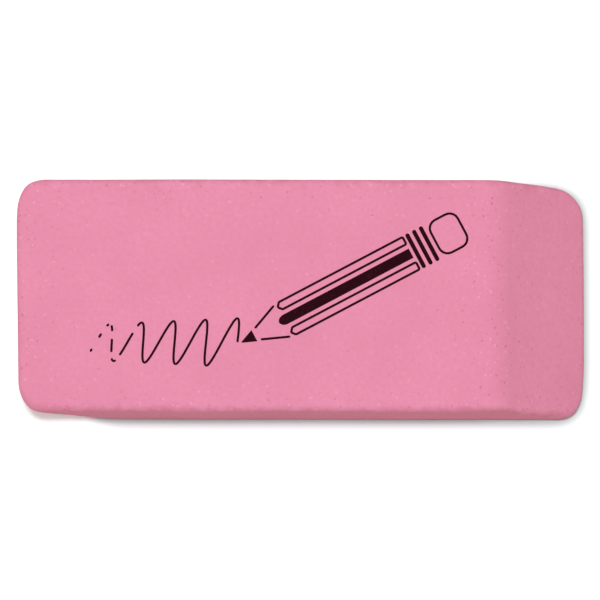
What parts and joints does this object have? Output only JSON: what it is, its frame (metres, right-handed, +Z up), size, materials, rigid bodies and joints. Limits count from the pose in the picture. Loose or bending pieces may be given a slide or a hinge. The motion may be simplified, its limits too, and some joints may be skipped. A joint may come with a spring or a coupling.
{
  "type": "rubber eraser",
  "caption": "Pink rubber eraser: a rhomboid block with flat rubbing faces, rolled edges and slanted wedge ends for rubbing out pencil marks.",
  "frame": {"origin": "middle of the block's length and width, on the surface that the eraser lies on", "axes": "+X along the length, towards the end whose bevel faces up; +Y across the width; +Z up through the thickness"},
  "size_m": [0.067, 0.0276, 0.011],
  "materials": {
    "pink_rubber": "matte",
    "print_ink": "matte"
  },
  "bodies": {
    "root": {"eraser_block": "pink_rubber"}
  },
  "joints": []
}
